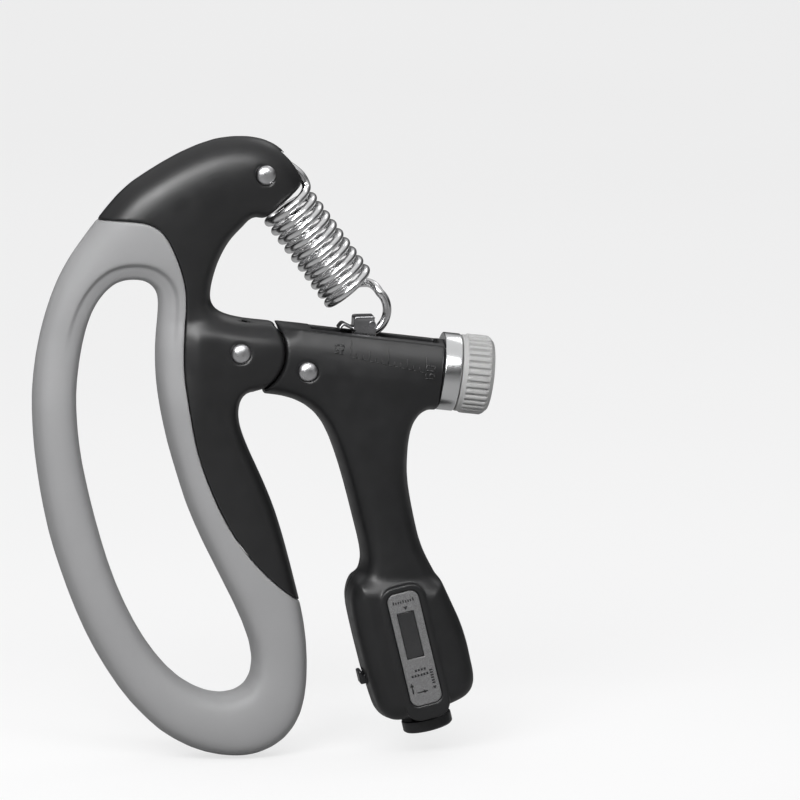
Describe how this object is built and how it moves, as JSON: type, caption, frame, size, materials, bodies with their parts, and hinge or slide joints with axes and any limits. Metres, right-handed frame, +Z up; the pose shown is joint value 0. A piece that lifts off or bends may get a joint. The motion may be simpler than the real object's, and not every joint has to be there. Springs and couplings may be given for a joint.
{
  "type": "hand grip strengthener",
  "caption": "Hand grip strengthener: soft-sleeved finger loop lever hinged to a pistol handle with an adjustable coil spring and a squeeze counter.",
  "frame": {"origin": "centre of the overall bounding box at rest, about 27 mm below and 7 mm right of the main pivot", "axes": "+Z up along the long way of the loop, +X towards the adjusting knob, +Y away from the label side"},
  "size_m": [0.1252, 0.023, 0.1684],
  "materials": {
    "black_plastic": "satin, fine moulded texture",
    "grip_rubber": "smooth satin grey soft grip",
    "rivet_steel": "satin nickel",
    "screw_steel": "dark zinc",
    "plate_steel": "plain steel",
    "chrome_ring": "polished",
    "spring_steel": "polished, nickel plated",
    "grey_plastic": "matte light grey",
    "nut_brass": "plain",
    "label_grey": "satin speckled grey",
    "window_smoke": "smoked clear plastic",
    "white_plastic": "white"
  },
  "bodies": {
    "front_lever": {"front_frame": "black_plastic", "grip_sleeve": "grip_rubber", "pivot_rivet": "rivet_steel", "pivot_rivet_cap": "rivet_steel"},
    "rear_handle": {"rear_shell_near": "black_plastic", "rear_shell_far": "black_plastic", "handle_rivet": "rivet_steel", "handle_rivet_cap": "rivet_steel", "shell_screw_1": "screw_steel", "shell_screw_2": "screw_steel", "shell_screw_3": "screw_steel", "hinge_plate": "plate_steel", "end_ring": "chrome_ring", "label_plate": "label_grey", "counter_window": "window_smoke", "counter_frame": "white_plastic", "trigger_spring": "spring_steel"},
    "adjuster": {"adjuster_knob": "grey_plastic", "adjuster_screw": "plate_steel", "retaining_clip": "screw_steel"},
    "carriage": {"carriage_nut": "nut_brass", "hook_bracket": "rivet_steel", "bracket_pin": "rivet_steel"},
    "spring_pin": {"spring_rivet": "rivet_steel", "spring_rivet_cap": "rivet_steel"},
    "spring": {"tension_spring": "spring_steel"},
    "trigger": {"trigger_button": "black_plastic"},
    "reset": {"counter_shaft": "plate_steel", "reset_knob": "black_plastic"},
    "units": {"wheel_units": "white_plastic"},
    "tens": {"wheel_tens": "white_plastic"},
    "hundreds": {"wheel_hundreds": "white_plastic"},
    "thousands": {"wheel_thousands": "white_plastic"}
  },
  "joints": [
    {"name": "handle_squeeze", "type": "hinge", "parent": "front_lever", "child": "rear_handle", "pos_m": [-0.00698, 0.00025, 0.02638], "axis": [0, 1, 0], "range_deg": [-5, 7.5], "deforming": ["tension_spring"]},
    {"name": "knob_turn", "type": "hinge", "parent": "rear_handle", "child": "adjuster", "pos_m": [0.04766, 0.00025, 0.01962], "axis": [0.9922, 0, -0.1246], "range_deg": [-1260, 2340], "deforming": ["tension_spring"]},
    {"name": "carriage_slide", "type": "slide", "parent": "rear_handle", "child": "carriage", "axis": [0.9922, 0, -0.1246], "range_m": [-0.00705, 0.01305]},
    {"name": "spring_pin_turn", "type": "hinge", "parent": "front_lever", "child": "spring_pin", "pos_m": [0.00003, 0.00025, 0.07433], "axis": [0, 1, 0], "range_deg": [-1.6, 2.4]},
    {"name": "spring_swing", "type": "hinge", "parent": "spring_pin", "child": "spring", "pos_m": [0.00003, 0.00025, 0.07433], "axis": [0, 1, 0], "range_deg": [-11, 6.2]},
    {"name": "trigger_press", "type": "slide", "parent": "rear_handle", "child": "trigger", "axis": [0.9728, 0, 0.2316], "range_m": [0, 0.0015], "deforming": ["trigger_spring"]},
    {"name": "reset_turn", "type": "hinge", "parent": "rear_handle", "child": "reset", "pos_m": [0.04419, 0.00025, -0.07484], "axis": [-0.2316, 0, 0.9728], "continuous": true},
    {"name": "units_turn", "type": "hinge", "parent": "rear_handle", "child": "units", "pos_m": [0.03952, 0.00025, -0.05519], "axis": [-0.2316, 0, 0.9728], "continuous": true},
    {"name": "tens_turn", "type": "hinge", "parent": "rear_handle", "child": "tens", "pos_m": [0.0388, 0.00025, -0.05217], "axis": [-0.2316, 0, 0.9728], "continuous": true},
    {"name": "hundreds_turn", "type": "hinge", "parent": "rear_handle", "child": "hundreds", "pos_m": [0.03808, 0.00025, -0.04916], "axis": [-0.2316, 0, 0.9728], "continuous": true},
    {"name": "thousands_turn", "type": "hinge", "parent": "rear_handle", "child": "thousands", "pos_m": [0.03736, 0.00025, -0.04614], "axis": [-0.2316, 0, 0.9728], "continuous": true}
  ],
  "couplings": [
    {"joint": "carriage_slide", "follows": "knob_turn", "m_per_rad": 0.00031831},
    {"joint": "spring_swing", "follows": "knob_turn", "ratio": -0.0045},
    {"joint": "spring_pin_turn", "follows": "handle_squeeze", "ratio": 0.285},
    {"joint": "tens_turn", "follows": "units_turn", "ratio": 0.1},
    {"joint": "hundreds_turn", "follows": "units_turn", "ratio": 0.01},
    {"joint": "thousands_turn", "follows": "units_turn", "ratio": 0.001}
  ]
}
